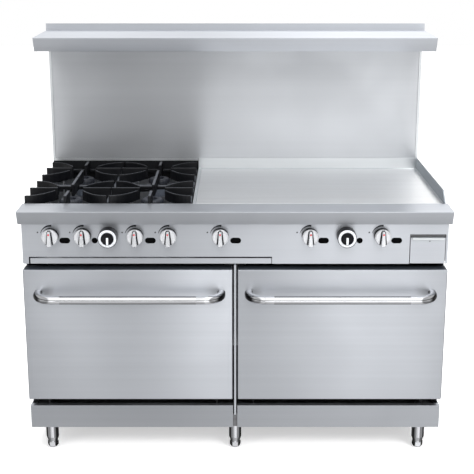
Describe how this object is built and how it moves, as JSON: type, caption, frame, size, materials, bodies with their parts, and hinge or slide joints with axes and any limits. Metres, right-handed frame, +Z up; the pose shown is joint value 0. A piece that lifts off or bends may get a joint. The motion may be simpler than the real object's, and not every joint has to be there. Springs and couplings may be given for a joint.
{
  "type": "commercial gas range",
  "caption": "Free-standing restaurant gas range with open burners, a flat griddle, drop-down oven doors, a back riser with a high shelf, a front ledge and adjustable legs.",
  "frame": {"origin": "on the floor, at the middle of the whole range in plan", "axes": "+Z up, +X to the right of a person facing the range, +Y towards the wall behind it"},
  "size_m": [1.524, 0.879, 1.524],
  "materials": {
    "brushed_steel": "fine straight-grained brushed finish",
    "griddle_steel": "ground and polished plate",
    "rear_steel": "plain mill finish sheet",
    "chrome_trim": "polished chrome plate",
    "leg_steel": "polished steel",
    "grate_iron": "black cast iron, lightly textured",
    "burner_iron": "grey cast iron",
    "inner_steel": "plain painted steel",
    "valve_brass": "machined brass",
    "pilot_aluminium": "bright tube",
    "oven_enamel": "dark porcelain enamel",
    "gasket_rope": "woven heat-proof rope",
    "wire_steel": "bright wire",
    "dial_plastic": "moulded black plastic with a bright ring"
  },
  "bodies": {
    "range_body": {"base_frame": "inner_steel", "burner_box": "brushed_steel", "burner_heads": "burner_iron", "burner_venturis": "burner_iron", "centre_post": "brushed_steel", "control_panel": "brushed_steel", "door_hinges": "inner_steel", "front_ledge": "brushed_steel", "gas_manifold": "inner_steel", "gas_valves": "valve_brass", "grease_trough": "brushed_steel", "griddle_burners": "inner_steel", "griddle_plate": "griddle_steel", "griddle_splash": "brushed_steel", "high_shelf": "brushed_steel", "kick_plates": "brushed_steel", "left_oven_liner": "oven_enamel", "leg_tubes": "leg_steel", "oven_burners": "inner_steel", "oven_floor_panels": "oven_enamel", "panel_screws": "wire_steel", "pilot_burners": "pilot_aluminium", "rear_panel": "rear_steel", "right_oven_liner": "oven_enamel", "riser_back": "rear_steel", "riser_panel": "brushed_steel", "side_panels": "brushed_steel"},
    "burner_knob_1": {"burner_knob_1": "chrome_trim"},
    "burner_knob_2": {"burner_knob_2": "chrome_trim"},
    "burner_knob_3": {"burner_knob_3": "chrome_trim"},
    "burner_knob_4": {"burner_knob_4": "chrome_trim"},
    "foot_front_left": {"foot_front_left": "leg_steel"},
    "foot_front_middle": {"foot_front_middle": "leg_steel"},
    "foot_front_right": {"foot_front_right": "leg_steel"},
    "foot_rear_left": {"foot_rear_left": "leg_steel"},
    "foot_rear_middle": {"foot_rear_middle": "leg_steel"},
    "foot_rear_right": {"foot_rear_right": "leg_steel"},
    "grate_front_left": {"grate_front_left": "grate_iron"},
    "grate_front_right": {"grate_front_right": "grate_iron"},
    "grate_rear_left": {"grate_rear_left": "grate_iron"},
    "grate_rear_right": {"grate_rear_right": "grate_iron"},
    "griddle_knob_1": {"griddle_knob_1": "chrome_trim"},
    "griddle_knob_2": {"griddle_knob_2": "chrome_trim"},
    "griddle_knob_3": {"griddle_knob_3": "chrome_trim"},
    "left_oven_dial": {"left_oven_dial": "dial_plastic"},
    "right_oven_dial": {"right_oven_dial": "dial_plastic"},
    "crumb_tray": {"crumb_tray": "brushed_steel"},
    "grease_drawer": {"grease_drawer": "brushed_steel"},
    "left_door": {"left_door_skin": "brushed_steel", "left_door_liner": "oven_enamel", "left_door_gasket": "gasket_rope", "left_handle_bar": "chrome_trim", "left_handle_ends": "chrome_trim"},
    "left_oven_rack": {"left_oven_rack": "wire_steel"},
    "right_door": {"right_door_skin": "brushed_steel", "right_door_liner": "oven_enamel", "right_door_gasket": "gasket_rope", "right_handle_bar": "chrome_trim", "right_handle_ends": "chrome_trim"},
    "right_oven_rack": {"right_oven_rack": "wire_steel"}
  },
  "joints": [
    {"name": "foot_front_left_height", "type": "slide", "parent": "range_body", "child": "foot_front_left", "axis": [0, 0, -1], "range_m": [0, 0.038]},
    {"name": "foot_front_middle_height", "type": "slide", "parent": "range_body", "child": "foot_front_middle", "axis": [0, 0, -1], "range_m": [0, 0.038]},
    {"name": "foot_front_right_height", "type": "slide", "parent": "range_body", "child": "foot_front_right", "axis": [0, 0, -1], "range_m": [0, 0.038]},
    {"name": "foot_rear_left_height", "type": "slide", "parent": "range_body", "child": "foot_rear_left", "axis": [0, 0, -1], "range_m": [0, 0.038]},
    {"name": "foot_rear_middle_height", "type": "slide", "parent": "range_body", "child": "foot_rear_middle", "axis": [0, 0, -1], "range_m": [0, 0.038]},
    {"name": "foot_rear_right_height", "type": "slide", "parent": "range_body", "child": "foot_rear_right", "axis": [0, 0, -1], "range_m": [0, 0.038]},
    {"name": "grate_front_left_lift", "type": "slide", "parent": "range_body", "child": "grate_front_left", "axis": [0, 0, 1], "range_m": [0, 0.15]},
    {"name": "grate_front_right_lift", "type": "slide", "parent": "range_body", "child": "grate_front_right", "axis": [0, 0, 1], "range_m": [0, 0.15]},
    {"name": "grate_rear_left_lift", "type": "slide", "parent": "range_body", "child": "grate_rear_left", "axis": [0, 0, 1], "range_m": [0, 0.15]},
    {"name": "grate_rear_right_lift", "type": "slide", "parent": "range_body", "child": "grate_rear_right", "axis": [0, 0, 1], "range_m": [0, 0.15]},
    {"name": "burner_knob_1_turn", "type": "hinge", "parent": "range_body", "child": "burner_knob_1", "pos_m": [-0.652, -0.336, 0.834], "axis": [0, -1, 0], "range_deg": [0, 90]},
    {"name": "burner_knob_2_turn", "type": "hinge", "parent": "range_body", "child": "burner_knob_2", "pos_m": [-0.538, -0.336, 0.834], "axis": [0, -1, 0], "range_deg": [0, 90]},
    {"name": "burner_knob_3_turn", "type": "hinge", "parent": "range_body", "child": "burner_knob_3", "pos_m": [-0.353, -0.336, 0.834], "axis": [0, -1, 0], "range_deg": [0, 90]},
    {"name": "burner_knob_4_turn", "type": "hinge", "parent": "range_body", "child": "burner_knob_4", "pos_m": [-0.236, -0.336, 0.834], "axis": [0, -1, 0], "range_deg": [0, 90]},
    {"name": "griddle_knob_1_turn", "type": "hinge", "parent": "range_body", "child": "griddle_knob_1", "pos_m": [-0.052, -0.336, 0.834], "axis": [0, -1, 0], "range_deg": [0, 90]},
    {"name": "griddle_knob_2_turn", "type": "hinge", "parent": "range_body", "child": "griddle_knob_2", "pos_m": [0.265, -0.336, 0.834], "axis": [0, -1, 0], "range_deg": [0, 90]},
    {"name": "griddle_knob_3_turn", "type": "hinge", "parent": "range_body", "child": "griddle_knob_3", "pos_m": [0.52, -0.336, 0.834], "axis": [0, -1, 0], "range_deg": [0, 90]},
    {"name": "left_oven_dial_turn", "type": "hinge", "parent": "range_body", "child": "left_oven_dial", "pos_m": [-0.447, -0.336, 0.834], "axis": [0, -1, 0], "range_deg": [0, 270]},
    {"name": "right_oven_dial_turn", "type": "hinge", "parent": "range_body", "child": "right_oven_dial", "pos_m": [0.393, -0.336, 0.834], "axis": [0, -1, 0], "range_deg": [0, 270]},
    {"name": "crumb_tray_slide", "type": "slide", "parent": "range_body", "child": "crumb_tray", "axis": [0, -1, 0], "range_m": [0, 0.5]},
    {"name": "grease_drawer_slide", "type": "slide", "parent": "range_body", "child": "grease_drawer", "axis": [0, -1, 0], "range_m": [0, 0.25]},
    {"name": "left_door_hinge", "type": "hinge", "parent": "range_body", "child": "left_door", "pos_m": [-0.382, -0.306, 0.236], "axis": [1, 0, 0], "range_deg": [0, 90]},
    {"name": "left_oven_rack_slide", "type": "slide", "parent": "range_body", "child": "left_oven_rack", "axis": [0, -1, 0], "range_m": [0, 0.05]},
    {"name": "right_door_hinge", "type": "hinge", "parent": "range_body", "child": "right_door", "pos_m": [0.382, -0.306, 0.236], "axis": [1, 0, 0], "range_deg": [0, 90]},
    {"name": "right_oven_rack_slide", "type": "slide", "parent": "range_body", "child": "right_oven_rack", "axis": [0, -1, 0], "range_m": [0, 0.05]}
  ]
}
